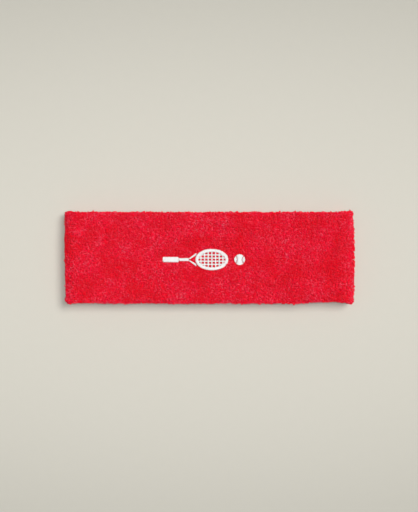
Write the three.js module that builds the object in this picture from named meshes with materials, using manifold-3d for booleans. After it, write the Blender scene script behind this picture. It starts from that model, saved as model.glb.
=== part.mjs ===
// A terry sports headband lying flat, front face up.
//
// Frame: millimetres, +X along the flattened loop, +Y across the band's height, +Z up out of the
// front face. The origin is the middle of the underside.
//
// The band is a knitted terry tube turned in on itself, so it has an outer layer, an inner layer
// and a fold at each long edge. The tube's raw ends are linked together round the inner face.
// Elastic yarns run round between the layers, and the motif is stitched through the outer layer.

import * as THREE from "three";
import { mergeVertices } from "three/addons/utils/BufferGeometryUtils.js";
import Module from "manifold-3d";

const wasm = await Module();
wasm.setup();

// Driving dimensions, in millimetres.
const FLAT_LENGTH = 184; // the loop pressed flat, end to end
const BAND_HEIGHT = 58; // fold to fold
const LAYER = 1.9; // one thickness of terry cloth
const CAVITY = 1.2; // room for the elastic yarns between two layers
const HEAD_SLIT = 5.2; // the gap between the front and the back of the loop
const FOLD_ROUNDING = 2.1; // how round the cloth turns at the long edges
const CLEARANCE = 0.3; // between neighbouring pieces
const CUT = 0.5; // how far a cutter reaches past the face that it opens

const SEAM_SLOT = 1.8; // the gap between the tube's two raw ends
const YARN_DIAMETER = 0.6;
const YARN_COUNT = 10;
const YARN_SPACING = 5.4;

const MOTIF = { x: -3.2, y: -1.3, height: 13.6 }; // middle of the motif on the front face
const SATIN = 0.45; // how thick the satin stitch stands
const SATIN_ROUNDING = 0.15;
const BACKING = { length: 57, width: 18, thickness: 0.3, corner: 2 };
const BOBBIN_THICKNESS = 0.2;

// The motif, measured along the racket from the middle of the motif.
const HOOP = { x: 5, halfLength: 10.5, halfWidth: MOTIF.height / 2, stroke: 1.9 };
const STRINGS = { width: 0.7, mainSpacing: 2, mains: 4, crossSpacing: 2.33, crosses: 7 };
const SHAFT = { start: -15.6, end: -9.6, width: 1.9, corner: 0.35 };
const GRIP = { start: -26, end: -15.9, width: 3.4, corner: 0.8 };
const THROAT = { start: -9.3, spread: 0.35, width: 1.6, slant: 0.27, meets: Math.PI / 6 };
const BALL = { x: 22.6, radius: 3.4, seamRadius: 3, seamOffset: 4.6, seamGap: 0.34 };

const ARC_STEPS = 6; // each half circle is drawn with twice as many sides
const FOLD_STEPS = 4;
const THREAD_STEPS = 2;
const WELD = 1e-4; // corners nearer to each other than this are one

// What follows from them.
const WALL = 2 * LAYER + CAVITY;
const THICKNESS = 2 * WALL + HEAD_SLIT;
const CAVITY_HEIGHT = BAND_HEIGHT - 2 * LAYER;
const POCKET_DEPTH = BOBBIN_THICKNESS + BACKING.thickness + 2 * CLEARANCE;
const POCKET_FLOOR = THICKNESS - LAYER; // underside of the outer layer on the front
const MOTIF_BASE = THICKNESS + CLEARANCE;

// ---- Solids -------------------------------------------------------------------------------

function solid(geometry) {
  const bare = geometry.clone();
  bare.deleteAttribute("normal");
  bare.deleteAttribute("uv");
  const merged = mergeVertices(bare, WELD);
  return new wasm.Manifold(
    new wasm.Mesh({
      numProp: 3,
      vertProperties: merged.attributes.position.array,
      triVerts: new Uint32Array(merged.index.array),
    }),
  );
}

function geometryOf(body) {
  const mesh = body.getMesh();
  const geometry = new THREE.BufferGeometry();
  geometry.setAttribute("position", new THREE.BufferAttribute(mesh.vertProperties, 3));
  geometry.setIndex(new THREE.BufferAttribute(mesh.triVerts, 1));
  geometry.computeVertexNormals();
  return geometry;
}

// ---- Rings that run round the loop --------------------------------------------------------

// The loop's outline seen from one long edge, drawn smaller by `inset` all round.
function loopOutline(PathType, inset) {
  const turn = THICKNESS / 2;
  const straight = FLAT_LENGTH / 2 - turn;
  const outline = new PathType();
  outline.absarc(straight, turn, turn - inset, -Math.PI / 2, Math.PI / 2, false);
  outline.absarc(-straight, turn, turn - inset, Math.PI / 2, (3 * Math.PI) / 2, false);
  outline.closePath();
  return outline;
}

// A ring between two insets, `height` across the band, with rounded edges if asked.
function loopRing(outerInset, innerInset, height, rounding = 0, steps = 1) {
  const section = loopOutline(THREE.Shape, outerInset);
  section.holes.push(loopOutline(THREE.Path, innerInset));
  const straight = height - 2 * rounding;
  return new THREE.ExtrudeGeometry(section, {
    depth: straight,
    curveSegments: ARC_STEPS,
    bevelEnabled: rounding > 0,
    bevelThickness: rounding,
    bevelSize: rounding,
    bevelOffset: -rounding,
    bevelSegments: steps,
  })
    .translate(0, 0, -straight / 2)
    .rotateX(Math.PI / 2);
}

// The folded terry tube: hollow between its layers, open along the seam, with a pocket in the
// underside of the outer layer for the back of the embroidery.
function terrySleeve() {
  const layers = solid(loopRing(0, WALL, BAND_HEIGHT, FOLD_ROUNDING, FOLD_STEPS));
  const cavity = solid(loopRing(LAYER, LAYER + CAVITY, CAVITY_HEIGHT));
  const seam = solid(loopRing(LAYER + CUT, WALL + CUT, SEAM_SLOT));
  const pocket = solid(
    new THREE.BoxGeometry(
      BACKING.length + 2 * CLEARANCE,
      BACKING.width + 2 * CLEARANCE,
      POCKET_DEPTH + CUT,
    ).translate(MOTIF.x, MOTIF.y, POCKET_FLOOR + (POCKET_DEPTH - CUT) / 2),
  );
  return geometryOf(layers.subtract(cavity).subtract(seam).subtract(pocket));
}

// The linking stitches, as one ring in the seam.
function linkingThread() {
  const innerLayer = LAYER + CAVITY;
  return loopRing(
    innerLayer + CLEARANCE,
    WALL - CLEARANCE,
    SEAM_SLOT - 2 * CLEARANCE,
    CLEARANCE,
    THREAD_STEPS,
  );
}

// One covered elastic yarn, an eight-sided ring half way between the layers.
function elasticYarn(across) {
  const middle = LAYER + CAVITY / 2;
  const radius = YARN_DIAMETER / 2;
  const corner = radius * (2 - Math.SQRT2);
  return loopRing(middle - radius, middle + radius, YARN_DIAMETER, corner).translate(
    0,
    across,
    0,
  );
}

// ---- The embroidered motif ----------------------------------------------------------------

// A flat outline raised into a strip of satin stitch with softened edges.
function satin(outline, base = MOTIF_BASE, thickness = SATIN, rounding = SATIN_ROUNDING) {
  return new THREE.ExtrudeGeometry(outline, {
    depth: thickness - 2 * rounding,
    curveSegments: 2 * ARC_STEPS,
    bevelEnabled: rounding > 0,
    bevelThickness: rounding,
    bevelSize: rounding,
    bevelOffset: -rounding,
    bevelSegments: 1,
  }).translate(MOTIF.x, MOTIF.y, base + rounding);
}

function ellipse(PathType, x, halfLength, halfWidth) {
  return new PathType().absellipse(x, 0, halfLength, halfWidth, 0, 2 * Math.PI, false, 0);
}

// A bar along the racket with its corners rounded by `corner`.
function barOutline(start, end, width, corner) {
  const half = width / 2;
  const bar = new THREE.Shape();
  bar.absarc(end - corner, corner - half, corner, -Math.PI / 2, 0, false);
  bar.absarc(end - corner, half - corner, corner, 0, Math.PI / 2, false);
  bar.absarc(start + corner, half - corner, corner, Math.PI / 2, Math.PI, false);
  bar.absarc(start + corner, corner - half, corner, Math.PI, (3 * Math.PI) / 2, false);
  bar.closePath();
  return bar;
}

function hoopOutline() {
  const hoop = ellipse(THREE.Shape, HOOP.x, HOOP.halfLength, HOOP.halfWidth);
  hoop.holes.push(
    ellipse(
      THREE.Path,
      HOOP.x,
      HOOP.halfLength - HOOP.stroke,
      HOOP.halfWidth - HOOP.stroke,
    ),
  );
  return hoop;
}

// One arm of the throat, from the end of the shaft to the hoop, which it meets at the angle
// THROAT.meets round the hoop's ellipse. `side` is 1 above and -1 below.
function throatOutline(side) {
  const half = THROAT.width / 2;
  const endX = HOOP.x - (HOOP.halfLength + CLEARANCE) * Math.cos(THROAT.meets);
  const endY = (HOOP.halfWidth + CLEARANCE) * Math.sin(THROAT.meets);
  const corners = [
    [THROAT.start, THROAT.spread / 2],
    [endX - half, endY - half],
    [endX - THROAT.slant, endY + half],
    [THROAT.start, THROAT.spread / 2 + half],
  ];
  return new THREE.Shape(corners.map(([x, y]) => new THREE.Vector2(x, side * y)));
}

// The strings: one grid that stops short of the hoop's inside.
function stringGrid() {
  const inside = solid(
    satin(
      ellipse(
        THREE.Shape,
        HOOP.x,
        HOOP.halfLength - HOOP.stroke - CLEARANCE,
        HOOP.halfWidth - HOOP.stroke - CLEARANCE,
      ),
      MOTIF_BASE,
      SATIN,
      0,
    ),
  );
  const run = (length, width, x, y) =>
    solid(
      new THREE.BoxGeometry(length, width, SATIN).translate(
        MOTIF.x + HOOP.x + x,
        MOTIF.y + y,
        MOTIF_BASE + SATIN / 2,
      ),
    );
  const long = 2 * HOOP.halfLength;
  const wide = 2 * HOOP.halfWidth;
  const bars = [];
  for (let i = 0; i < STRINGS.mains; i++) {
    const y = (i - (STRINGS.mains - 1) / 2) * STRINGS.mainSpacing;
    bars.push(run(long, STRINGS.width, 0, y));
  }
  for (let i = 0; i < STRINGS.crosses; i++) {
    const x = (i - (STRINGS.crosses - 1) / 2) * STRINGS.crossSpacing;
    bars.push(run(STRINGS.width, wide, x, 0));
  }
  return geometryOf(bars.reduce((grid, bar) => grid.add(bar)).intersect(inside));
}

// The ball in three lobes, parted by its two curved seam lines.
function ballLobes() {
  const disc = (x, radius) => solid(satin(ellipse(THREE.Shape, x, radius, radius)));
  const block = (x, radius) =>
    solid(
      satin(ellipse(THREE.Shape, x, radius, radius), MOTIF_BASE - CUT, SATIN + 2 * CUT, 0),
    );
  const ball = disc(BALL.x, BALL.radius);
  const within = BALL.seamRadius - BALL.seamGap / 2;
  const beyond = BALL.seamRadius + BALL.seamGap / 2;
  const left = BALL.x - BALL.seamOffset;
  const right = BALL.x + BALL.seamOffset;
  return {
    ball_left: geometryOf(ball.intersect(block(left, within))),
    ball_middle: geometryOf(
      ball.subtract(block(left, beyond)).subtract(block(right, beyond)),
    ),
    ball_right: geometryOf(ball.intersect(block(right, within))),
  };
}

// ---- The back of the embroidery -----------------------------------------------------------

// The sheet of fleece behind the stitches, in its pocket.
function backing() {
  const end = BACKING.length / 2;
  const sheet = barOutline(-end, end, BACKING.width, BACKING.corner);
  const base = POCKET_FLOOR + BOBBIN_THICKNESS + CLEARANCE;
  return satin(sheet, base, BACKING.thickness, 0);
}

// The under-thread follows the middle of the racket's stitching.
function racketBobbin() {
  const hoop = solid(satin(hoopOutline(), POCKET_FLOOR, BOBBIN_THICKNESS, 0));
  const handle = solid(
    satin(
      barOutline(GRIP.start, HOOP.x - HOOP.halfLength + HOOP.stroke / 2, SHAFT.width, CLEARANCE),
      POCKET_FLOOR,
      BOBBIN_THICKNESS,
      0,
    ),
  );
  return geometryOf(hoop.add(handle));
}

function ballBobbin() {
  const disc = ellipse(THREE.Shape, BALL.x, BALL.radius, BALL.radius);
  return satin(disc, POCKET_FLOOR, BOBBIN_THICKNESS, 0);
}

// ---- The headband -------------------------------------------------------------------------

const headband = new THREE.Group();
headband.name = "sports_headband";

function add(name, geometry, finish) {
  const material = new THREE.MeshStandardMaterial({ ...finish, metalness: 0 });
  material.name = name;
  const mesh = new THREE.Mesh(geometry, material);
  mesh.name = name;
  headband.add(mesh);
}

const RED_TERRY = { color: 0xdc1f33, roughness: 0.95 };
const RED_THREAD = { color: 0xc81a2c, roughness: 0.7 };
const ELASTIC = { color: 0xb31a2b, roughness: 0.75 };
const WHITE_THREAD = { color: 0xf4f1ee, roughness: 0.4 };
const BOBBIN_THREAD = { color: 0xe8e6e2, roughness: 0.5 };
const FLEECE = { color: 0xece9e4, roughness: 0.9 };

add("terry_sleeve", terrySleeve(), RED_TERRY);
add("linking_thread", linkingThread(), RED_THREAD);
for (let i = 0; i < YARN_COUNT; i++) {
  const across = ((YARN_COUNT - 1) / 2 - i) * YARN_SPACING;
  const number = String(i + 1).padStart(2, "0");
  add("elastic_yarn_" + number, elasticYarn(across), ELASTIC);
}

const shaft = barOutline(SHAFT.start, SHAFT.end, SHAFT.width, SHAFT.corner);
const grip = barOutline(GRIP.start, GRIP.end, GRIP.width, GRIP.corner);
add("racket_hoop", satin(hoopOutline()), WHITE_THREAD);
add("racket_strings", stringGrid(), WHITE_THREAD);
add("racket_throat_upper", satin(throatOutline(1)), WHITE_THREAD);
add("racket_throat_lower", satin(throatOutline(-1)), WHITE_THREAD);
add("racket_shaft", satin(shaft), WHITE_THREAD);
add("racket_grip", satin(grip), WHITE_THREAD);
for (const [name, geometry] of Object.entries(ballLobes())) {
  add(name, geometry, WHITE_THREAD);
}

add("embroidery_backing", backing(), FLEECE);
add("bobbin_thread_racket", racketBobbin(), BOBBIN_THREAD);
add("bobbin_thread_ball", ballBobbin(), BOBBIN_THREAD);

export default headband;
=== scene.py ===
"""A terry sports headband lying flat, built up as cloth, loops of yarn and stitches.

The sleeve is a tube of knitted terry turned in on itself, so it is a flattened ring whose own
section is a flattened ring too. Every point of the cloth is placed by three numbers: how far round
the loop it is, how far round the section it is, and how deep it is under the pile.
"""

import functools
import math

import bpy
import numpy as np
from bpy.props import FloatProperty, FloatVectorProperty, PointerProperty
from bpy.types import Operator, Panel, PropertyGroup
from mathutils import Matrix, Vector
from mathutils.bvhtree import BVHTree


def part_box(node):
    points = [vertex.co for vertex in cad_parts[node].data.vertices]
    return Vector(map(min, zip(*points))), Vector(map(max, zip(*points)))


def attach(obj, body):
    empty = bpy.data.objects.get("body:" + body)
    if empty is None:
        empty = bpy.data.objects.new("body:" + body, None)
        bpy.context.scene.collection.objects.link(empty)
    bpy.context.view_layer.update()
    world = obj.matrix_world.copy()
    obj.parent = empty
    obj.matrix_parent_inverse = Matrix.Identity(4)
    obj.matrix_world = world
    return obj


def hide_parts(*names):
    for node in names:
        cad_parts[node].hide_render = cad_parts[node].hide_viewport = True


bl_info = {
    "name": "Terry headband",
    "version": (1, 0, 0),
    "blender": (4, 5, 0),
    "location": "View3D > Sidebar > Headband",
    "description": "Builds a terry sports headband with an embroidered racket and ball",
    "category": "Object",
}

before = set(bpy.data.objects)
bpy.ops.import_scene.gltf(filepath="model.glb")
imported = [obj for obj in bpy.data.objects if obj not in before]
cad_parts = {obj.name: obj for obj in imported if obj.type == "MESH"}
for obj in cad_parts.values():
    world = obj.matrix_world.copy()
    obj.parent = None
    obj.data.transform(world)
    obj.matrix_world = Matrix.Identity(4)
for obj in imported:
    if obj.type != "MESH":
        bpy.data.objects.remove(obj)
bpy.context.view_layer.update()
MM = 0.001
SEED = 20

# ---- Sizes of the sleeve -----------------------------------------------------------------------

SLEEVE_LOW, SLEEVE_HIGH = np.array(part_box("terry_sleeve"))
LENGTH, HEIGHT, THICKNESS = SLEEVE_HIGH - SLEEVE_LOW
LAYER = 1.9 * MM  # one thickness of terry, from the tips of the pile to the cavity
CAVITY = 1.2 * MM
WALL = 2 * LAYER + CAVITY
SEAM_GAP = 1.8 * MM  # between the raw ends of the tube
TURN = THICKNESS / 2  # radius of the loop's two ends
FOLD = WALL / 2  # radius of the folds at the long edges
PILE_TOP = SLEEVE_HIGH[2]

# Round the loop: the back, the right end, the front and the left end.
STRAIGHT = LENGTH - THICKNESS
END_ARC = math.pi * (TURN - FOLD)
ROUND_LOOP = 2 * (STRAIGHT + END_ARC)
# Round the section, from the middle of the inner face: up, over the top fold, down the outer face,
# under the bottom fold and back.
HALF_FACE = HEIGHT / 2 - FOLD
FOLD_ARC = math.pi * FOLD
ROUND_SECTION = 4 * HALF_FACE + 2 * FOLD_ARC

# Soft grooves where the rolled folds and the turned ends meet the flat of the cloth.
ROLL_GROOVE, ROLL_GROOVE_AT, ROLL_GROOVE_WIDTH = 0.5 * MM, 1.7 * MM, 1.0 * MM
END_GROOVE, END_GROOVE_AT, END_GROOVE_WIDTH = 0.4 * MM, 3.5 * MM, 3.0 * MM
UNEVEN = 0.35  # how much the grooves beside the folds come and go

RACKET = (
    "racket_hoop",
    "racket_strings",
    "racket_throat_upper",
    "racket_throat_lower",
    "racket_shaft",
    "racket_grip",
)
BALL = ("ball_left", "ball_middle", "ball_right")
ALONG_Y = np.array([0.0, 1.0, 0.0])
YARNS = sorted(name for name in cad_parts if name.startswith("elastic_yarn"))


# ---- Settings ----------------------------------------------------------------------------------


class HeadbandCloth(PropertyGroup):
    """The terry cloth and its pile."""

    pile_height: FloatProperty(
        name="Pile height",
        description="How far a loop stands above the knitted ground",
        default=1.35 * MM,
        unit="LENGTH",
    )
    ground_depth: FloatProperty(
        name="Ground depth",
        description="How deep the knitted ground lies under the sleeve's outside",
        default=0.8 * MM,
        unit="LENGTH",
    )
    wale_spacing: FloatProperty(
        name="Wale spacing",
        description="Distance between loops round the band",
        default=0.94 * MM,
        unit="LENGTH",
    )
    course_spacing: FloatProperty(
        name="Course spacing",
        description="Distance between loops across the band",
        default=0.84 * MM,
        unit="LENGTH",
    )
    yarn_thickness: FloatProperty(
        name="Yarn thickness",
        description="Thickness of the pile yarn",
        default=0.52 * MM,
        unit="LENGTH",
    )
    lively: FloatProperty(
        name="Liveliness",
        description="How unevenly the loops stand",
        default=0.32,
        min=0,
        max=1,
        subtype="FACTOR",
    )
    puff: FloatProperty(
        name="Puff",
        description="The furthest that the cloth simulation may move a point",
        default=0.7 * MM,
        unit="LENGTH",
    )
    # The pile is coloured between these two reds. The bright one at the loops' crowns is painted
    # highlight and the deep one at their feet is painted shade; loops and patches also differ at
    # random between them.
    bright: FloatVectorProperty(
        name="Bright red",
        description="Colour of the loops' crowns",
        default=(0.99, 0.0025, 0.034),
        size=3,
        subtype="COLOR",
    )
    deep: FloatVectorProperty(
        name="Deep red",
        description="Colour of the loops' feet and of the ground",
        default=(0.88, 0.0003, 0.0145),
        size=3,
        subtype="COLOR",
    )


class HeadbandThreads(PropertyGroup):
    """Embroidery, seam and elastic."""

    stitch_spacing: FloatProperty(
        name="Stitch spacing",
        description="Distance between neighbouring satin stitches",
        default=0.36 * MM,
        unit="LENGTH",
    )
    thread_thickness: FloatProperty(
        name="Thread thickness",
        description="Thickness of the embroidery thread",
        default=0.42 * MM,
        unit="LENGTH",
    )
    white: FloatVectorProperty(
        name="Thread white",
        description="Colour of the embroidery thread",
        default=(0.78, 0.76, 0.76),
        size=3,
        subtype="COLOR",
    )
    seam_stitch: FloatProperty(
        name="Seam stitch",
        description="Length of one linking stitch",
        default=2.2 * MM,
        unit="LENGTH",
    )


class HeadbandStage(PropertyGroup):
    """Floor, lights and camera."""

    floor_colour: FloatVectorProperty(
        name="Floor",
        description="Colour of the floor",
        default=(0.505, 0.482, 0.427),
        size=3,
        subtype="COLOR",
    )
    key_power: FloatProperty(
        name="Key light",
        description="Strength of the soft light at the upper right",
        default=2.35,
    )
    fill: FloatProperty(
        name="Fill light",
        description="Strength of the light from all round",
        default=0.2,
    )
    overhead: FloatProperty(
        name="Overhead light",
        description="Power of the light straight above",
        default=21.5,
        subtype="POWER",
    )
    lens: FloatProperty(name="Lens", description="Focal length in millimetres", default=85.0)


# ---- Placing points on the cloth ---------------------------------------------------------------


def round_loop(s):
    """Middle of the wall's turning line and the outward direction, for shares `s` of the loop."""
    t = (np.asarray(s) % 1.0) * ROUND_LOOP
    front_start = STRAIGHT + END_ARC
    left_start = front_start + STRAIGHT
    parts = [t < STRAIGHT, t < front_start, t < left_start]
    x = np.select(
        parts,
        [t - STRAIGHT / 2, STRAIGHT / 2, front_start + STRAIGHT / 2 - t],
        -STRAIGHT / 2,
    )
    half_turns = np.select(
        parts, [0.0, (t - STRAIGHT) / END_ARC, 1.0], 1.0 + (t - left_start) / END_ARC
    )
    angle = math.pi * (half_turns - 0.5)
    zero = np.zeros_like(x)
    middle = np.stack([x, zero, zero + TURN], -1)
    outward = np.stack([np.cos(angle), zero, np.sin(angle)], -1)
    return middle, outward


def round_section(w):
    """Height across the band of the section's middle line, and the two parts of the direction
    that faces out of the cloth: away from the loop's middle, and across the band."""
    t = (np.asarray(w) % 1.0) * ROUND_SECTION
    top_start = HALF_FACE
    outer_start = top_start + FOLD_ARC
    bottom_start = outer_start + 2 * HALF_FACE
    last_start = bottom_start + FOLD_ARC
    parts = [t < top_start, t < outer_start, t < bottom_start, t < last_start]
    y = np.select(
        parts,
        [t, HALF_FACE, HALF_FACE - (t - outer_start), -HALF_FACE],
        t - last_start - HALF_FACE,
    )
    turn = np.select(
        parts,
        [0.0, (t - top_start) / FOLD_ARC, 1.0, 1.0 + (t - bottom_start) / FOLD_ARC],
        2.0,
    )
    return y, -np.cos(math.pi * turn), np.sin(math.pi * turn)


def flat_place(s, w, depth):
    """Points of the sleeve before the cloth relaxes, and the directions facing out of it."""
    middle, outward = round_loop(s)
    y, out, across = round_section(w)
    facing = out[..., None] * outward + across[..., None] * ALONG_Y
    spine = middle + (TURN - FOLD) * outward + y[..., None] * ALONG_Y
    return spine + np.asarray(FOLD - depth)[..., None] * facing, facing


def on_front(x, y):
    """The loop and section shares of a point on the front face."""
    s = (1.5 * STRAIGHT + END_ARC - np.asarray(x)) / ROUND_LOOP
    w = (2 * HALF_FACE + FOLD_ARC - np.asarray(y)) / ROUND_SECTION
    return s, w


def rolled_edges(s, w):
    """How much deeper the cloth lies in the soft grooves beside its folds and its two ends."""
    t = (np.asarray(w) % 1.0) * ROUND_SECTION
    first = HALF_FACE + FOLD_ARC + ROLL_GROOVE_AT
    last = 3 * HALF_FACE + FOLD_ARC - ROLL_GROOVE_AT
    beside_fold = sum(np.exp(-(((t - at) / ROLL_GROOVE_WIDTH) ** 2)) for at in (first, last))
    turns = 2 * math.pi * np.asarray(s)
    uneven = 1 - UNEVEN + UNEVEN * np.sin(23 * turns) * np.sin(9 * turns + 1)
    middle, outward = round_loop(s)
    from_end = STRAIGHT / 2 - np.abs(middle[..., 0])
    beside_end = np.exp(-(((from_end - END_GROOVE_AT) / END_GROOVE_WIDTH) ** 2))
    return ROLL_GROOVE * beside_fold * uneven + END_GROOVE * beside_end * (outward[..., 2] > 0)


def place(s, w, depth):
    """Points of the relaxed sleeve, and the directions facing out of it."""
    points, facing = flat_place(s, w, depth)
    points = points - rolled_edges(s, w)[..., None] * facing
    points = points + relaxed_shift(s, w)
    points[..., 2] = np.maximum(points[..., 2], 0.0)
    return points, facing


def smooth_step(x):
    """Rises from 0 to 1 as x does, and is level at both ends."""
    x = np.clip(x, 0.0, 1.0)
    return x * x * (3 - 2 * x)


# ---- How the cloth relaxes ---------------------------------------------------------------------

GUIDE_ROUND, GUIDE_ACROSS = 148, 46  # vertices of the coarse cloth that is simulated
SETTLE_FRAMES = 20
WAVE = 0.25 * MM  # slow waves over the whole cloth
# The lower edge is lifted a little near the right end, and hangs at both its corners.
LIFT, LIFT_AT, LIFT_WIDTH = 1.1 * MM, 70 * MM, 13 * MM
DROOP = 0.6 * MM
# The folds are fullest at the four corners, which squares them a little.
SQUARING = 0.5 * MM
END_AT, END_FADE = 84 * MM, 6 * MM  # where the corners begin, and over what length


def grid_faces(rows, columns, close_rows=True, close_columns=True):
    """Quads of a grid whose vertices run along its columns first."""
    r = np.arange(rows if close_rows else rows - 1)
    c = np.arange(columns if close_columns else columns - 1)
    r, c = (a.ravel() for a in np.meshgrid(r, c, indexing="ij"))
    r2, c2 = (r + 1) % rows, (c + 1) % columns
    return np.stack([r * columns + c, r2 * columns + c, r2 * columns + c2, r * columns + c2], -1)


def turned_corners(rows, columns):
    """The row and column at each corner of a closed grid's quads, taken the other way round."""
    r, c = np.divmod(np.arange(rows * columns), columns)
    return np.stack([r, c + 1, r + 1, c + 1, r + 1, c, r, c], -1).reshape(-1, 4, 2)


def motif_shield(x, y, margin):
    """1 over the embroidery, falling to 0 within `margin` of it."""
    lows, highs = zip(*(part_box(name) for name in RACKET + BALL))
    low, high = np.min(lows, 0), np.max(highs, 0)
    gap_x = np.maximum(low[0] - x, x - high[0])
    gap_y = np.maximum(low[1] - y, y - high[1])
    return 1 - smooth_step(np.maximum(gap_x, gap_y) / margin)


def guide_shares():
    """The loop and section shares of the guide grid's points."""
    return np.meshgrid(
        np.arange(GUIDE_ROUND) / GUIDE_ROUND,
        np.arange(GUIDE_ACROSS) / GUIDE_ACROSS,
        indexing="ij",
    )


def simulate_guide(puff):
    """Lets a coarse copy of the sleeve puff up a little, and returns how far its points moved."""
    s, w = guide_shares()
    points = flat_place(s, w, 0.0)[0].reshape(-1, 3)
    guide = mesh_object("cloth_guide", points, grid_faces(GUIDE_ROUND, GUIDE_ACROSS))

    y, out, _ = round_section(w.ravel())
    in_seam = (out < 0) & (np.abs(y) < 2 * SEAM_GAP)
    under = points[:, 2] < 0.2 * MM
    front = points[:, 2] > THICKNESS - FOLD
    stitched = motif_shield(points[:, 0], points[:, 1], 6 * MM) * front
    hold = np.maximum.reduce([in_seam * 1.0, under * 0.6, 0.8 * stitched])
    rng = np.random.default_rng(SEED)
    tight = smooth_noise(s.ravel(), w.ravel(), rng, 7, 3)
    for name, weights in (("hold", hold), ("tight", 0.5 + 0.5 * tight)):
        group = guide.vertex_groups.new(name=name)
        for index, weight in enumerate(np.clip(weights, 0, 1)):
            group.add([index], float(weight), "REPLACE")

    cloth = guide.modifiers.new("settle", "CLOTH")
    settings = cloth.settings
    settings.quality = 6
    settings.mass = 0.12
    settings.tension_stiffness = settings.compression_stiffness = 12
    settings.shear_stiffness = 4
    settings.bending_stiffness = 0.4
    settings.use_pressure = True
    settings.uniform_pressure_force = 4
    settings.vertex_group_mass = "hold"
    settings.vertex_group_shrink = "tight"
    settings.shrink_min, settings.shrink_max = -0.03, 0.03
    settings.effector_weights.gravity = 0
    scene = bpy.context.scene
    for step in range(1, SETTLE_FRAMES + 1):
        scene.frame_set(step)
    settled = guide.evaluated_get(bpy.context.evaluated_depsgraph_get()).to_mesh()
    moved = np.empty(len(points) * 3)
    settled.vertices.foreach_get("co", moved)
    shift = moved.reshape(-1, 3) - points
    scene.frame_set(1)
    bpy.data.objects.remove(guide)
    length = np.linalg.norm(shift, axis=1, keepdims=True)
    shift *= puff * np.tanh(length / puff) / np.maximum(length, 1e-9)
    return shift.reshape(GUIDE_ROUND, GUIDE_ACROSS, 3)


def smooth_noise(s, w, rng, round_waves, across_waves, count=14):
    """A smooth random surface between about -1 and 1 that closes on itself both ways."""
    total = np.zeros_like(s)
    for _ in range(count):
        k = rng.integers(-round_waves, round_waves + 1)
        m = rng.integers(-across_waves, across_waves + 1)
        total += np.sin(2 * math.pi * (k * s + m * w + rng.random()))
    return total / math.sqrt(count)


@functools.cache
def relaxed_grid():
    """How far each point of the guide grid moves when the cloth relaxes."""
    s, w = guide_shares()
    shift = np.zeros((GUIDE_ROUND, GUIDE_ACROSS, 3))
    shift += simulate_guide(bpy.context.scene.headband_cloth.puff)
    points, facing = flat_place(s, w, 0.0)
    rng = np.random.default_rng(SEED + 1)
    shift += WAVE * smooth_noise(s, w, rng, 9, 2)[..., None] * facing
    x, y = points[..., 0], points[..., 1]
    near_low_edge = smooth_step(-y / (HEIGHT / 2) - 0.4)
    near_end = smooth_step((np.abs(x) - END_AT) / END_FADE)
    near_corner = near_end * smooth_step((np.abs(y) - HALF_FACE + FOLD) / (2 * FOLD))
    lift = np.exp(-(((x - LIFT_AT) / LIFT_WIDTH) ** 2)) * near_low_edge
    shift[..., 1] += LIFT * lift - DROOP * near_end * near_low_edge
    shift[..., 0] += SQUARING * near_corner * np.sign(x)
    return shift


def relaxed_shift(s, w):
    """The guide grid's movement at any place, between its points."""
    grid = relaxed_grid()
    a = (np.asarray(s) % 1.0) * GUIDE_ROUND
    b = (np.asarray(w) % 1.0) * GUIDE_ACROSS
    i, j = np.floor(a).astype(int), np.floor(b).astype(int)
    fa, fb = smooth_step(a - i)[..., None], smooth_step(b - j)[..., None]
    i, j = i % GUIDE_ROUND, j % GUIDE_ACROSS
    i2, j2 = (i + 1) % GUIDE_ROUND, (j + 1) % GUIDE_ACROSS
    near = grid[i, j] * (1 - fb) + grid[i, j2] * fb
    far = grid[i2, j] * (1 - fb) + grid[i2, j2] * fb
    return near * (1 - fa) + far * fa


# ---- Meshes ------------------------------------------------------------------------------------


def mesh_object(name, points, quads, maps=()):
    """A smooth mesh of quads. `maps` are (name, one place per corner) pairs."""
    mesh = bpy.data.meshes.new(name)
    mesh.vertices.add(len(points))
    mesh.vertices.foreach_set("co", np.asarray(points, np.float32).ravel())
    mesh.loops.add(quads.size)
    mesh.loops.foreach_set("vertex_index", quads.ravel().astype(np.int32))
    mesh.polygons.add(len(quads))
    mesh.polygons.foreach_set("loop_start", np.arange(0, quads.size, 4, dtype=np.int32))
    mesh.polygons.foreach_set("use_smooth", np.ones(len(quads), bool))
    mesh.update(calc_edges=True)
    for map_name, places in maps:
        layer = mesh.uv_layers.new(name=map_name, do_init=False)
        layer.uv.foreach_set("vector", places.astype(np.float32).ravel())
    mesh.validate()
    made = bpy.data.objects.new(name, mesh)
    bpy.context.collection.objects.link(made)
    return made


def unit(v):
    """Vectors of length 1."""
    return v / np.maximum(np.linalg.norm(v, axis=-1, keepdims=True), 1e-12)


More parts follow.
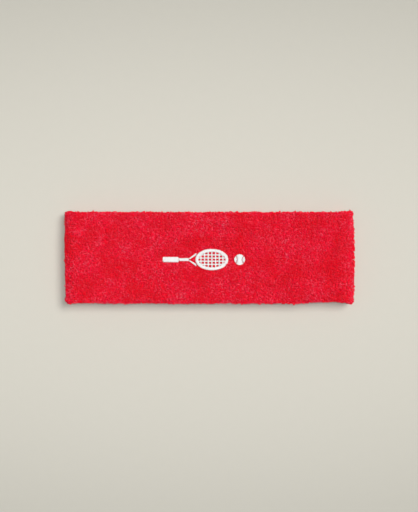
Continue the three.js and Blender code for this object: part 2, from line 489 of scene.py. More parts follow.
def yarns(name, paths, side, radius, rng, sides=4, flat=1.0):
    """Many short yarns in one mesh, each drawn in at both ends. `paths` is yarns x stations x 3 and
    `side` a direction across each yarn. The map OFBake gives each yarn a cell of its own, and the
    map Yarn holds a number drawn for the yarn and the share of the way along it."""
    count, stations, _ = paths.shape
    tangent = unit(np.gradient(paths, axis=1))
    side = side[:, None, :]
    across = unit(side - tangent * np.sum(side * tangent, -1, keepdims=True))
    up = np.cross(tangent, across)
    angle = 2 * math.pi * np.arange(sides)[:, None] / sides
    ring = np.cos(angle) * across[:, :, None, :] + flat * np.sin(angle) * up[:, :, None, :]
    taper = np.where(np.isin(np.arange(stations), (0, stations - 1)), 0.3, 1.0)
    radius = np.broadcast_to(radius, (count, stations)) * taper
    points = paths[:, :, None, :] + radius[:, :, None, None] * ring
    faces = grid_faces(stations, sides, close_rows=False)
    quads = (faces[None] + (np.arange(count) * stations * sides)[:, None, None]).reshape(-1, 4)

    row, column = np.meshgrid(np.arange(stations - 1), np.arange(sides), indexing="ij")
    row, column = row.ravel(), column.ravel()
    along = np.stack([row, row + 1, row + 1, row], -1) / (stations - 1)
    around = np.stack([column, column, column + 1, column + 1], -1) / sides
    local = np.stack([along, around], -1)
    cells = math.ceil(math.sqrt(count))
    cell = np.stack([np.arange(count) % cells, np.arange(count) // cells], -1)
    atlas = (cell[:, None, None, :] + 0.06 + 0.88 * local[None]) / cells
    own = np.broadcast_to(rng.random(count)[:, None, None], (count,) + local.shape[:2])
    share = np.broadcast_to(local[None, ..., 0], own.shape)
    return mesh_object(
        name,
        points.reshape(-1, 3),
        quads,
        [("OFBake", atlas.reshape(-1, 2)), ("Yarn", np.stack([own, share], -1).reshape(-1, 2))],
    )


# ---- Materials ---------------------------------------------------------------------------------


class Socket:
    """A shader socket that can be used in a Python expression, which adds its Math nodes."""

    def __init__(self, nodes, socket):
        self.nodes, self.socket = nodes, socket

    def math(self, operation, *values):
        return self.nodes.node("ShaderNodeMath", {"operation": operation}, dict(enumerate(values)))

    def sine(self):
        return self.math("SINE", self)

    def output(self, name):
        """Another output of the same node."""
        return Socket(self.nodes, self.socket.node.outputs[name])

    def __add__(self, other):
        return self.math("ADD", self, other)

    def __sub__(self, other):
        return self.math("SUBTRACT", self, other)

    def __rsub__(self, other):
        return self.math("SUBTRACT", other, self)

    def __mul__(self, other):
        return self.math("MULTIPLY", self, other)

    def __pow__(self, other):
        return self.math("POWER", self, other)

    __radd__ = __add__
    __rmul__ = __mul__


class Nodes:
    """The nodes of a material or of the world."""

    def __init__(self, tree):
        self.tree = tree

    def node(self, kind, settings, inputs, output=0):
        """Adds a node: its settings are set first, then its sockets' values or links."""
        made = self.tree.nodes.new(kind)
        for name, value in settings.items():
            setattr(made, name, value)
        for name, value in inputs.items():
            self.join(made.inputs[name], value)
        return Socket(self, made.outputs[output])

    def join(self, target, value):
        if isinstance(value, Socket):
            self.tree.links.new(value.socket, target)
        else:
            target.default_value = value

    def mix(self, share, first, second):
        """A colour between two."""
        return self.node(
            "ShaderNodeMix",
            {"data_type": "RGBA"},
            {0: share, 6: colour(first), 7: colour(second)},
            output=2,
        )


def colour(value):
    """A colour's socket as it is, or its three numbers with full opacity."""
    return value if isinstance(value, Socket) else (*value, 1.0)


class Finish(Nodes):
    """A material built from nodes, with one Principled shader."""

    def __init__(self, name, **constants):
        self.material = bpy.data.materials.new(name)
        self.material.use_nodes = True
        super().__init__(self.material.node_tree)
        self.shader = self.tree.nodes["Principled BSDF"]
        for socket, value in constants.items():
            self.shader.inputs[socket.replace("_", " ")].default_value = value

    def place(self):
        return self.node("ShaderNodeTexCoord", {}, {}, output="Object")

    def noise(self, vector, scale, detail=2.0, roughness=0.5):
        return self.node(
            "ShaderNodeTexNoise",
            {},
            {"Vector": vector, "Scale": scale, "Detail": detail, "Roughness": roughness},
        )

    def yarn(self):
        """The number drawn for each yarn, and the share of the way along it."""
        both = self.node("ShaderNodeUVMap", {"uv_map": "Yarn"}, {})
        own = self.node("ShaderNodeSeparateXYZ", {}, {0: both})
        return own, own.output("Y")

    def bump(self, height, strength, distance):
        return self.node(
            "ShaderNodeBump", {}, {"Strength": strength, "Distance": distance, "Height": height}
        )

    def set(self, **links):
        for socket, value in links.items():
            self.join(self.shader.inputs[socket.replace("_", " ")], value)
        return self.material


def pile_finish(cloth):
    """Cotton loops: painted highlight at their crowns and painted shade at their feet, each a
    little different, with soft patches.
    """
    finish = Finish(
        "red_terry_pile",
        Subsurface_Weight=0.7,
        Subsurface_Radius=(1.0, 0.12, 0.16),
        Subsurface_Scale=0.75 * MM,
        Sheen_Weight=0.12,
        Sheen_Roughness=0.4,
        Sheen_Tint=(1.0, 0.5, 0.53, 1.0),
        Specular_IOR_Level=0.06,
    )
    own, along = finish.yarn()
    # Painted highlight and shade: each loop's colour rises from the deep red at its feet to the
    # bright red at its crown.
    crown_highlight = (along * math.pi).sine()
    where = finish.place()
    patches = finish.noise(where, scale=70.0)
    fibres = finish.noise(where, scale=2600.0)
    shade = crown_highlight * 0.3 + own * 0.3 + (patches - 0.5) * 4.0 + 0.2
    base = finish.mix(shade, cloth.deep, cloth.bright)
    # Painted highlight: some loops, picked at random and more of them in some patches, turn pale
    # pink like glints of sheen.
    pale = finish.mix((own ** 4.0) * (patches - 0.22) * 1.5, base, (0.97, 0.13, 0.19))
    return finish.set(
        Base_Color=pale,
        Roughness=0.82 + 0.14 * fibres,
        Normal=finish.bump(fibres, 0.5, 0.15 * MM),
    )


def ground_finish(cloth):
    """The knitted ground under the pile: fine ribs of stitches in deep red, darkened as painted
    shade under the loops.
    """
    finish = Finish(
        "red_terry_ground", Sheen_Weight=0.05, Sheen_Roughness=0.6, Specular_IOR_Level=0.1
    )
    where = finish.place()
    fibres = finish.noise(where, scale=2200.0, detail=3.0)
    patches = finish.noise(where, scale=110.0, detail=3.0)
    ribs = finish.node(
        "ShaderNodeTexWave",
        {"bands_direction": "Y", "wave_profile": "SIN"},
        {"Vector": where, "Scale": 320.0, "Distortion": 1.5, "Detail": 2.0},
    )
    feet = finish.node("ShaderNodeTexVoronoi", {}, {"Vector": where, "Scale": 1500.0})
    # The stitches fall away towards each cell's edge; in the colour this is painted shade between
    # the stitches.
    stitches = 1 - feet * 1.6
    shade = 0.15 * ribs + 0.2 * fibres + 0.25 * patches + 0.4 * stitches
    # Painted shade: the ground is a darker copy of the deep red, as if shaded by the loops above
    # it.
    dark = tuple(0.7 * part for part in cloth.deep)
    return finish.set(
        Base_Color=finish.mix(shade, dark, cloth.bright),
        Roughness=0.85 + 0.12 * fibres,
        Normal=finish.bump(stitches + 0.3 * ribs + 0.3 * fibres, 1.0, 0.5 * MM),
    )


def satin_finish(threads):
    """Polished polyester thread: white, each thread a little different, with the twist of its plies
    and painted shade along it.
    """
    finish = Finish(
        "white_satin_thread", Sheen_Weight=0.15, Sheen_Roughness=0.3, Specular_IOR_Level=0.45
    )
    own, along = finish.yarn()
    fibres = finish.noise(finish.place(), scale=3000.0)
    plies = (along * 60.0 + fibres * 3.0).sine()
    # Threads differ at random. The plies' twist also darkens the white towards grey in bands, which
    # is painted shade.
    shade = 0.5 + 0.35 * own + 0.15 * plies
    grey = tuple(0.86 * part for part in threads.white)
    return finish.set(
        Base_Color=finish.mix(shade, grey, threads.white),
        Roughness=0.34 + 0.16 * own + 0.08 * fibres,
        Normal=finish.bump(plies, 0.25, 0.04 * MM),
    )


def plain_thread_finish(name, light, dark, roughness):
    """Spun thread of one colour, twisted and slightly uneven, with painted shade along its twist.
    """
    finish = Finish(name, Sheen_Weight=0.2)
    own, along = finish.yarn()
    fibres = finish.noise(finish.place(), scale=2400.0, detail=3.0)
    # The twist darkens the colour in bands as well as raising the relief: painted shade.
    twist = (along * 240.0 + fibres * 4.0).sine()
    return finish.set(
        Base_Color=finish.mix(0.4 * own + 0.35 * fibres + 0.2 * twist, dark, light),
        Roughness=roughness + 0.12 * fibres,
        Normal=finish.bump(twist + fibres, 0.5, 0.08 * MM),
    )


def elastic_finish(cloth):
    """Elastic yarn in a wound cover, with a glimpse of the pale core between the wraps."""
    finish = Finish("covered_elastic", Sheen_Weight=0.2)
    where = finish.place()
    fibres = finish.noise(where, scale=2400.0, detail=3.0)
    wraps = finish.node(
        "ShaderNodeTexWave",
        {"bands_direction": "DIAGONAL", "wave_profile": "SIN"},
        {"Vector": where, "Scale": 420.0, "Distortion": 2.0},
    )
    # The wraps also lighten and darken the cover's red in bands: painted shade of the ridges. The
    # pale core between them is the core's own colour.
    covered = finish.mix(0.6 * fibres + 0.4 * wraps, cloth.deep, cloth.bright)
    return finish.set(
        Base_Color=finish.mix((1 - wraps) ** 5.0 * 0.5, covered, (0.72, 0.6, 0.5)),
        Roughness=0.6 + 0.2 * fibres,
        Normal=finish.bump(wraps + fibres, 0.5, 0.08 * MM),
    )


def fleece_finish():
    """Non-woven backing: short fibres lying every way, thinner in places."""
    finish = Finish("embroidery_fleece", Sheen_Weight=0.1)
    where = finish.place()
    fibres = finish.noise(where, scale=1800.0, detail=5.0, roughness=0.7)
    clouds = finish.noise(where, scale=160.0, detail=3.0)
    return finish.set(
        Base_Color=finish.mix(0.5 * fibres + 0.4 * clouds, (0.62, 0.6, 0.57), (0.9, 0.89, 0.86)),
        Roughness=0.8 + 0.15 * fibres,
        Normal=finish.bump(fibres, 0.6, 0.1 * MM),
    )


def floor_finish(stage):
    """Matt painted board, with hardly any texture."""
    finish = Finish("pale_board")
    grain = finish.noise(finish.place(), scale=180.0, detail=4.0)
    pale = tuple(1.03 * part for part in stage.floor_colour)
    return finish.set(
        Base_Color=finish.mix(grain, stage.floor_colour, pale),
        Roughness=0.85 + 0.1 * grain,
    )


def wear(made, material, slot_name, *nodes):
    """Gives a piece its material and the body that it moves with, and hides the solids that it
    stands for.
    """
    made.data.materials.append(material)
    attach(made, "root")
    if nodes:
        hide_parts(*nodes)
    return made


# ---- Pieces ------------------------------------------------------------------------------------


class HEADBAND_OT_ground(Operator):
    """Knit the ground of the terry sleeve, folded in on itself and open along its seam"""

    bl_idname = "headband.ground"
    bl_label = "Terry ground"

    def execute(self, context):
        cloth = context.scene.headband_cloth
        around, outside, inside = 320, 110, 44
        half_gap = SEAM_GAP / 2 / ROUND_SECTION
        out = np.linspace(half_gap, 1 - half_gap, outside)
        back = np.linspace(1 - half_gap, half_gap, inside)
        w = np.concatenate([out, back])
        depth = np.concatenate([np.full(outside, cloth.ground_depth), np.full(inside, LAYER)])
        s = np.arange(around) / around
        points, _ = place(s[:, None] + 0 * w, w + 0 * s[:, None], depth)
        quads = grid_faces(around, len(w))[:, ::-1]
        chart = turned_corners(around, len(w)) / [around, len(w)]
        made = mesh_object("terry_ground", points.reshape(-1, 3), quads, [("OFBake", chart)])
        wear(made, ground_finish(cloth), "red_terry", "terry_sleeve")
        return {"FINISHED"}


def search_tree(*names):
    """Search tree of solids of the model."""
    points, faces = [], []
    for name in names:
        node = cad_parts[name]
        start = len(points)
        points += [node.matrix_world @ v.co for v in node.data.vertices]
        faces += [[start + i for i in p.vertices] for p in node.data.polygons]
    return BVHTree.FromPolygons(points, faces)


def held_down(points, on_face):
    """How far loops near the embroidery are held down: 1 under it, 0 a loop's width away."""
    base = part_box("racket_hoop")[0][2]
    tree, held = search_tree(*RACKET, *BALL), np.zeros(len(points))
    near = on_face & (motif_shield(points[:, 0], points[:, 1], 2 * MM) > 0)
    for i in np.flatnonzero(near):
        distance = tree.find_nearest(Vector((points[i, 0], points[i, 1], base)))[3]
        held[i] = 1 - smooth_step((distance - 0.1 * MM) / (0.9 * MM))
    return held


SNAGGED, SNAG = 0.015, 1.4  # share of the loops that stand proud of the rest, and how much
# Faint ribs run across the band: how far apart they are, and how much taller their loops.
RIB_SPACING, RIB_SHARE = 3.7 * MM, 0.16
PRESSED = 0.62  # share of its height that a loop loses under the embroidery
LOOP_HALF, LOOP_HALF_SPREAD = 0.5 * MM, 0.16 * MM  # half a loop's width, and how it varies
TURN_SPREAD, CROSSWISE = 0.75, 0.35  # how far the loops are turned, and the share turned across
# How far a loop leans and is combed over, in parts of its height, and how far it bends aside.
LEAN, COMBED, KINK = 2.2, 0.45, 0.22 * MM
SWEEP = 0.86 * math.pi  # how much of a circle half a loop runs round
INNER_DEPTH = 8 * MM  # how far inside the mouths the loops are modelled


def loop_paths(s, w, cloth, rng, stations):
    """Centre lines of terry loops that root at these places, and the directions across them."""
    count = len(s)
    root, facing = place(s, w, np.full(count, cloth.ground_depth + 0.1 * MM))
    _, outward = round_loop(s)
    along = np.stack([-outward[:, 2], 0 * s, outward[:, 0]], -1)
    across = np.cross(facing, along)
    _, out, _ = round_section(w)
    front = (outward[:, 2] > 0.99) & (out > 0.99)
    held = held_down(root, front)

    height = cloth.pile_height * (1 + cloth.lively * rng.uniform(-0.7, 0.6, count))
    height *= 1 + 0.12 * smooth_noise(s, w, rng, 60, 18)
    ribs = np.cos(2 * math.pi * s * round(ROUND_LOOP / RIB_SPACING))
    height *= 1 + RIB_SHARE * ribs * smooth_step(0.5 + 0.6 * smooth_noise(s, w, rng, 12, 6))
    height *= np.where((rng.random(count) < SNAGGED) & (held == 0), SNAG, 1.0)
    height *= 1 - PRESSED * held
    half = LOOP_HALF + LOOP_HALF_SPREAD * rng.uniform(-1, 1, count)
    turn = rng.normal(0, TURN_SPREAD, count) + math.pi / 2 * (rng.random(count) < CROSSWISE)
    plane = np.cos(turn)[:, None] * along + np.sin(turn)[:, None] * across
    normal = np.cross(facing, plane)
    lean_angle = rng.random(count) * 2 * math.pi
    lean = rng.random(count) ** 0.7 * LEAN * cloth.lively * height * (1 - 0.8 * held)
    lean_way = np.cos(lean_angle)[:, None] * along + np.sin(lean_angle)[:, None] * across
    combed = [COMBED * height * smooth_noise(s, w, rng, 45, 14) for _ in range(2)]
    comb = combed[0][:, None] * along + combed[1][:, None] * across
    kink = rng.normal(0, KINK, count)

    sweep = np.linspace(-SWEEP, SWEEP, stations)
    rise = 0.5 + 0.5 * np.cos(sweep)
    paths = (
        root[:, None, :]
        + (half[:, None] * np.sin(sweep))[..., None] * plane[:, None, :]
        + (height[:, None] * rise)[..., None] * facing[:, None, :]
        + (rise**1.6)[None, :, None] * (lean[:, None] * lean_way + comb)[:, None, :]
        + (kink[:, None] * np.sin(sweep))[..., None] * normal[:, None, :]
    )
    paths[..., 2] = np.maximum(paths[..., 2], 0.55 * cloth.yarn_thickness)  # above the floor
    return paths, normal


class HEADBAND_OT_pile(Operator):
    """Raise the pile: loops of cotton yarn over both sides of the sleeve and round its folds"""

    bl_idname = "headband.pile"
    bl_label = "Terry pile"

    def execute(self, context):
        cloth = context.scene.headband_cloth
        rng = np.random.default_rng(SEED + 2)
        material = pile_finish(cloth)
        start = (HALF_FACE - INNER_DEPTH) / ROUND_SECTION
        courses = round((1 - 2 * start) * ROUND_SECTION / cloth.course_spacing)
        wales = round(ROUND_LOOP / cloth.wale_spacing)
        s, w = np.meshgrid(
            (np.arange(wales) + 0.5) / wales,
            start + (1 - 2 * start) * (np.arange(courses) + 0.5) / courses,
            indexing="ij",
        )
        s = s + rng.normal(0, 0.25, s.shape) / wales
        w = w + rng.normal(0, 0.3, w.shape) * cloth.course_spacing / ROUND_SECTION
        s, w = s.ravel() % 1.0, w.ravel()
        face = STRAIGHT / ROUND_LOOP
        front = (STRAIGHT + END_ARC) / ROUND_LOOP
        zones = {"end_right": (face, front), "end_left": (front + face, 1.0)}
        for side, first, parts in (("front", front, 4), ("back", 0.0, 3)):
            edges = [first + face * i / parts for i in range(parts + 1)]
            for i in range(parts):
                zones[f"{side}_{i + 1}"] = (edges[i], edges[i + 1])
        for zone, (low, high) in zones.items():
            chosen = (s >= low) & (s < high)
            on_back = zone.startswith("back")
            paths, normal = loop_paths(s[chosen], w[chosen], cloth, rng, 4 if on_back else 6)
            made = yarns("terry_pile_" + zone, paths, normal, cloth.yarn_thickness / 2, rng)
            wear(made, material, "red_terry")
        return {"FINISHED"}


# ---- Stitches ----------------------------------------------------------------------------------

HOOP_STROKE = 1.9 * MM  # width of the hoop's satin column
MAINS, CROSSES = (4, 2.0 * MM), (7, 2.33 * MM)  # the racket's strings: how many, how far apart
STRING_PAIR = 0.17 * MM  # how far the two lines of stitches on a string lie from its middle
STRING_STITCH = 1.15 * MM  # length of a running stitch on a string
ACROSS = math.pi / 2
ARM = math.radians(37)  # how steeply the throat's arms open
# Which way the stitches run on each solid. Those of the shaft and the grip slant a little.
STITCH_ANGLES = {
    "racket_throat_upper": ACROSS + ARM,
    "racket_throat_lower": ACROSS - ARM,
    "racket_shaft": ACROSS - 0.12,
    "racket_grip": ACROSS - 0.5,
    "ball_left": ACROSS,
    "ball_middle": 0.0,
    "ball_right": ACROSS,
}
PLUNGE = 0.55 * MM  # how far a stitch's ends dip into the pile
STITCH_WANDER = 0.035 * MM  # how unevenly the stitches' ends lie
STITCH_EXTRA = 0.12 * MM  # the most that a stitch runs past its column's edge
BOBBIN_GAP = 1.4  # spacing of the bobbin stitches, in satin stitch spacings
# Behind the hoop the bobbin stitches cross it, and behind the handle they run along it.
BOBBIN_STROKE, BOBBIN_THREAD, BOBBIN_STITCH = 0.9 * MM, 0.2 * MM, 1.5 * MM
BOBBIN_LINES = (-0.5 * MM, -0.17 * MM, 0.17 * MM, 0.5 * MM)


def stitch_rows(name, angle, spacing):
    """Both ends of the parallel stitches that fill a solid, at `angle` to the racket."""
    tree = search_tree(name)
    low, high = np.array(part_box(name))
    middle, reach = Vector((low + high) / 2), float(np.linalg.norm(high - low))
    way = Vector((math.cos(angle), math.sin(angle), 0))
    aside = Vector((-math.sin(angle), math.cos(angle), 0))
    rows = []
    for offset in np.arange(-reach / 2, reach / 2, spacing):
        start = middle + aside * float(offset)
        near = tree.ray_cast(start - way * reach, way)[0]
        far = tree.ray_cast(start + way * reach, -way)[0]
        if near and far and (far - near).length > spacing:
            rows.append((near, far))
    return np.array(rows)


def hoop_middle():
    """Middle and half sizes of the hoop."""
    low, high = np.array(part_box("racket_hoop"))
    return (low + high) / 2, (high - low)[:2] / 2


def hoop_rows(name, stroke, spacing):
    """Both ends of the stitches that cross the hoop's middle line, at a solid's mid height."""
    low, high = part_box(name)
    middle, half = hoop_middle()
    fine = np.linspace(0, 2 * math.pi, 2000)
    ring = (half - HOOP_STROKE / 2) * np.stack([np.cos(fine), np.sin(fine)], -1)
    run = np.concatenate([[0], np.cumsum(np.linalg.norm(np.diff(ring, axis=0), axis=1))])
    count = round(run[-1] / spacing)
    angle = np.interp(np.arange(count) / count * run[-1], run, fine)
    turn = np.stack([np.cos(angle), np.sin(angle)], -1)
    core = middle[:2] + (half - HOOP_STROKE / 2) * turn
    out = unit(turn / half)
    ends = np.stack([core - out * stroke / 2, core + out * stroke / 2], 1)
    height = np.full(ends.shape[:2] + (1,), (low[2] + high[2]) / 2)
    return np.concatenate([ends, height], -1)


def string_rows(stitch):
    """Both ends of the running stitches that draw the strings, two side by side on each."""
    low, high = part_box("racket_strings")
    middle, half = hoop_middle()
    half = half - HOOP_STROKE
    rows = []
    for axis, (count, spacing) in enumerate((MAINS, CROSSES)):
        other = 1 - axis
        for i in range(count):
            offset = (i - (count - 1) / 2) * spacing
            reach = half[axis] * math.sqrt(1 - (offset / half[other]) ** 2)
            steps = max(2, round(2 * reach / stitch))
            at = np.linspace(-reach, reach, steps + 1)
            for side in (-STRING_PAIR, STRING_PAIR):
                for start, end in zip(at[:-1], at[1:]):
                    ends = np.zeros((2, 3))
                    ends[:, axis] = middle[axis] + np.array([start, end])
                    ends[:, other] = middle[other] + offset + side
                    ends[:, 2] = (low[2] + high[2]) / 2
                    rows.append(ends)
    return np.array(rows)


def stitches(name, rows, thickness, plunge, rng, material, slot_name, *nodes):
    """Sews threads between the rows' ends: flat on top, dipping in at both ends."""
    stations = 9
    rows = rows + rng.normal(0, STITCH_WANDER, rows.shape) * [1, 1, 0.6]
    way = unit(rows[:, 1] - rows[:, 0])
    rows = rows + np.stack([-way, way], 1) * rng.uniform(0.0, STITCH_EXTRA, (len(rows), 2, 1))
    t = np.linspace(0, 1, stations)
    paths = rows[:, :1] + (rows[:, 1:] - rows[:, :1]) * t[None, :, None]
    paths[..., 2] -= plunge * np.abs(2 * t - 1) ** 5
    s, w = on_front(paths[..., 0], paths[..., 1])
    paths = paths + relaxed_shift(s, w)
    side = np.stack([-way[:, 1], way[:, 0], 0 * way[:, 0]], -1)
    made = yarns(name, paths, side, thickness / 2, rng, sides=6, flat=0.72)
    return wear(made, material, slot_name, *nodes)


class HEADBAND_OT_embroidery(Operator):
    """Sew the racket and the ball in satin stitch through the front of the sleeve"""

    bl_idname = "headband.embroidery"
    bl_label = "Embroidery"

    def execute(self, context):
        threads = context.scene.headband_threads
        rng = np.random.default_rng(SEED + 3)
        material = satin_finish(threads)
        gap = threads.stitch_spacing
        rows = {
            "racket_hoop": hoop_rows("racket_hoop", HOOP_STROKE, gap),
            "racket_strings": string_rows(STRING_STITCH),
        }
        for name, angle in STITCH_ANGLES.items():
            rows[name] = stitch_rows(name, angle, gap)
        thickness, slot_name = threads.thread_thickness, "white_embroidery_thread"
        for name, ends in rows.items():
            stitches("satin_" + name, ends, thickness, PLUNGE, rng, material, slot_name, name)
        return {"FINISHED"}


class HEADBAND_OT_backing(Operator):
    """Lay the fleece backing behind the embroidery, with the bobbin threads under it"""

    bl_idname = "headband.backing"
    bl_label = "Backing and bobbin threads"

    def execute(self, context):
        threads = context.scene.headband_threads
        rng = np.random.default_rng(SEED + 4)
        low, high = np.array(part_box("embroidery_backing"))
        long, wide = 76, 24  # points of the sheet each way
        x, y = np.meshgrid(
            np.linspace(low[0], high[0], long), np.linspace(low[1], high[1], wide), indexing="ij"
        )
        sheet = relaxed_shift(*on_front(x, y))
        period = 60 * MM
        share_x, share_y = (x - low[0]) / period, (y - low[1]) / period
        wave = 0.04 * MM * smooth_noise(share_x, share_y, rng, 6, 6)
        sides = []
        for level in (high[2], low[2]):
            sides.append(np.stack([x, y, level + wave], -1).reshape(-1, 3) + sheet.reshape(-1, 3))
        top = grid_faces(long, wide, False, False)
        count = long * wide
        index = np.arange(count).reshape(long, wide)
        rim = np.concatenate([index[:, 0], index[-1, 1:], index[-2::-1, -1], index[0, -2:0:-1]])
        after = np.roll(rim, -1)
        edge = np.stack([after, rim, rim + count, after + count], -1)
        quads = np.vstack([top, top[:, ::-1] + count, edge])
        made = mesh_object("fleece_backing", np.vstack(sides), quads)
        wear(made, fleece_finish(), "backing_fleece", "embroidery_backing")

        material = plain_thread_finish(
            "bobbin_thread", threads.white, tuple(0.7 * c for c in threads.white), 0.5
        )
        gap = BOBBIN_GAP * threads.stitch_spacing
        middle, half = hoop_middle()
        racket_low, racket_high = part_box("bobbin_thread_racket")
        level = (racket_low[2] + racket_high[2]) / 2
        handle = np.arange(racket_low[0], middle[0] - half[0], BOBBIN_STITCH + 0.1 * MM)
        runs = [
            [[a, middle[1] + offset, level], [a + BOBBIN_STITCH, middle[1] + offset, level]]
            for a in handle
            for offset in BOBBIN_LINES
        ]
        racket = np.concatenate([hoop_rows("bobbin_thread_racket", BOBBIN_STROKE, gap), runs])
        ball = stitch_rows("bobbin_thread_ball", ACROSS, gap)
        for name, ends in (("bobbin_thread_racket", racket), ("bobbin_thread_ball", ball)):
            sewn = name.replace("_thread", "_stitches")
            stitches(sewn, ends, BOBBIN_THREAD, -0.1 * MM, rng, material, "bobbin_thread", name)
        return {"FINISHED"}


class HEADBAND_OT_seam(Operator):
    """Link the tube's two raw ends round the inner face with a chain of stitches"""

    bl_idname = "headband.seam"
    bl_label = "Linking seam"

    def execute(self, context):
        cloth, threads = context.scene.headband_cloth, context.scene.headband_threads
        rng = np.random.default_rng(SEED + 5)
        inner_round = ROUND_LOOP - 2 * math.pi * FOLD
        count = round(inner_round / threads.seam_stitch)
        stations, half_width, depth, radius = 11, 0.5 * MM, 1.0 * MM, 0.24 * MM
        sweep = np.linspace(-0.95, 0.95, stations) * math.pi
        along = (0.62 + 0.62 * np.cos(sweep)) / count
        s = (np.arange(count) / count)[:, None] + along[None, :]
        s = s + rng.normal(0, 0.03, (count, 1)) / count
        y = half_width * np.sin(sweep)[None, :] * rng.uniform(0.8, 1.2, (count, 1))
        sunk = depth - 0.45 * MM * np.sin(sweep / 2)[None, :] ** 2 + 0 * s
        paths, facing = place(s, y / ROUND_SECTION, sunk)
        made = yarns("linking_stitches", paths, facing[:, 0], radius, rng, sides=5)
        material = plain_thread_finish("red_linking_thread", cloth.bright, cloth.deep, 0.6)
        wear(made, material, "red_linking_thread", "linking_thread")
        return {"FINISHED"}


class HEADBAND_OT_elastic(Operator):
    """Run the covered elastic yarns round between the two layers"""

    bl_idname = "headband.elastic"
    bl_label = "Elastic yarns"

    def execute(self, context):
        cloth = context.scene.headband_cloth
        rng = np.random.default_rng(SEED + 6)
        material = elastic_finish(cloth)
        around, sides, wraps = 640, 8, 300
        s = np.arange(around) / around
        for name in YARNS:
            low, high = np.array(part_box(name))
            radius = (high[1] - low[1]) / 2
            y = (low[1] + high[1]) / 2
            _, w = on_front(0 * s, y + 0 * s)
            core, facing = place(s, w, FOLD + 0 * s)
            _, outward = round_loop(s)
            crimp = smooth_noise(s, 0 * s, rng, 70, 0, 10)
            core = core + 0.1 * MM * crimp[:, None] * facing
            core[:, 1] += 0.2 * MM * smooth_noise(s, 0 * s, rng, 60, 0, 10)
            angle = 2 * math.pi * np.arange(sides)[:, None] / sides
            # The cover's two threads wind round the core and stand out as ridges.
            wound = np.cos(2 * angle - 2 * math.pi * wraps * s[:, None, None])
            ring = np.cos(angle) * outward[:, None, :] + np.sin(angle) * ALONG_Y
            points = core[:, None, :] + radius * (0.86 + 0.14 * wound) * ring
            quads = grid_faces(around, sides)[:, ::-1]
            rows = 16  # the map is folded into this many lines
            corner = turned_corners(around, sides)
            per_row = around // rows
            line = np.arange(around).repeat(sides)[:, None] // per_row
            u = (corner[..., 0] - line * per_row) / per_row
            v = (line + 0.05 + 0.9 * corner[..., 1] / sides) / rows
            chart = np.stack([0.02 + 0.96 * u, v], -1)
            made = mesh_object("covered_" + name, points.reshape(-1, 3), quads, [("OFBake", chart)])
            wear(made, material, "elastic_yarn", name)
        return {"FINISHED"}


FLOOR_REACH = 6.0  # half the side of the floor
KEY_ANGLE, KEY_FROM, KEY_COLOUR = math.radians(26), (0.46, 0.27, 1.0), (1.0, 0.985, 0.965)
# The overhead light is shuttered into a long oval, so the floor darkens above and below.
OVERHEAD_AT, OVERHEAD_OVAL = (0.0, 0.0, 1.0), (2.7, 1.0, 1.0)
OVERHEAD_CONE, OVERHEAD_SIZE = 2 * math.atan(0.262), 0.1
COOL, WALLS = (0.9, 1.02, 1.03), (2.6, 2.5, 2.3)  # light from above and from round the stage
VIEW_HEIGHT = 324.5 * MM  # how much of the floor's length is in view
SENSOR = 36.0  # millimetres


def light(name, kind, power, at):
    """A light at a place, which shines down along its own Z axis."""
    data = bpy.data.lights.new(name, kind)
    data.energy = power
    made = bpy.data.objects.new(name, data)
    made.location = at
    bpy.context.collection.objects.link(made)
    return made


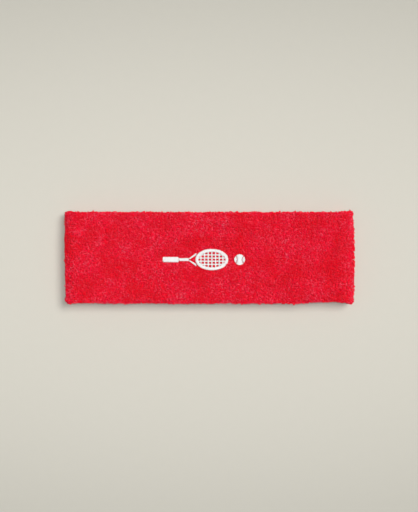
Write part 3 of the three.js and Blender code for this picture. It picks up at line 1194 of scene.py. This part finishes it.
class HEADBAND_OT_stage(Operator):
    """Lay the floor and set the soft lights and the camera"""

    bl_idname = "headband.stage"
    bl_label = "Floor, lights and camera"

    def execute(self, context):
        stage = context.scene.headband_stage
        square = np.array([[-1, -1, 0], [1, -1, 0], [1, 1, 0], [-1, 1, 0]])
        just_under = [0, 0, 0.05 * MM]
        floor = mesh_object("floor", FLOOR_REACH * square - just_under, np.array([[0, 1, 2, 3]]))
        floor.data.materials.append(floor_finish(stage))

        key = light("key", "SUN", stage.key_power, KEY_FROM)
        key.data.angle, key.data.color = KEY_ANGLE, KEY_COLOUR
        key.rotation_euler = key.location.to_track_quat("Z", "Y").to_euler()
        overhead = light("overhead", "SPOT", stage.overhead, OVERHEAD_AT)
        overhead.data.shadow_soft_size = OVERHEAD_SIZE
        overhead.data.spot_size, overhead.data.spot_blend = OVERHEAD_CONE, 1.0
        overhead.scale = OVERHEAD_OVAL

        world = bpy.data.worlds.new("studio")
        world.use_nodes = True
        background = world.node_tree.nodes["Background"]
        background.inputs["Strength"].default_value = stage.fill
        sky = Nodes(world.node_tree)
        way = sky.node("ShaderNodeTexCoord", {}, {}, output="Generated")
        rise = sky.node("ShaderNodeSeparateXYZ", {}, {0: way}, output="Z")
        # The world is brighter up to about 15 degrees above the floor, as pale walls round the
        # stage would make it.
        sky.join(background.inputs["Color"], sky.mix(1 - rise * 4.0, COOL, WALLS))
        context.scene.world = world

        camera = bpy.data.cameras.new("camera")
        camera.lens, camera.sensor_width = stage.lens, SENSOR
        distance = VIEW_HEIGHT * stage.lens / SENSOR
        eye = bpy.data.objects.new("camera", camera)
        eye.location = (0.0, 1.0 * MM, PILE_TOP + distance)
        context.collection.objects.link(eye)
        context.scene.camera = eye
        context.scene.view_settings.view_transform = "Standard"
        return {"FINISHED"}


class HEADBAND_PT_panel(Panel):
    """The sidebar's list of pieces"""

    bl_label = "Terry headband"
    bl_idname = "HEADBAND_PT_panel"
    bl_space_type = "VIEW_3D"
    bl_region_type = "UI"
    bl_category = "Headband"

    def draw(self, context):
        for operator in OPERATORS:
            self.layout.operator(operator.bl_idname)


SETTINGS = {
    "headband_cloth": HeadbandCloth,
    "headband_threads": HeadbandThreads,
    "headband_stage": HeadbandStage,
}
OPERATORS = (
    HEADBAND_OT_ground,
    HEADBAND_OT_pile,
    HEADBAND_OT_seam,
    HEADBAND_OT_elastic,
    HEADBAND_OT_embroidery,
    HEADBAND_OT_backing,
    HEADBAND_OT_stage,
)


def register():
    for group in (*SETTINGS.values(), *OPERATORS, HEADBAND_PT_panel):
        bpy.utils.register_class(group)
    for name, group in SETTINGS.items():
        setattr(bpy.types.Scene, name, PointerProperty(type=group))


def unregister():
    for name in SETTINGS:
        delattr(bpy.types.Scene, name)
    for group in (HEADBAND_PT_panel, *reversed(OPERATORS), *SETTINGS.values()):
        bpy.utils.unregister_class(group)


def main():
    register()
    for operator in OPERATORS:
        category, name = operator.bl_idname.split(".")
        getattr(getattr(bpy.ops, category), name)()


if __name__ == "__main__":
    main()
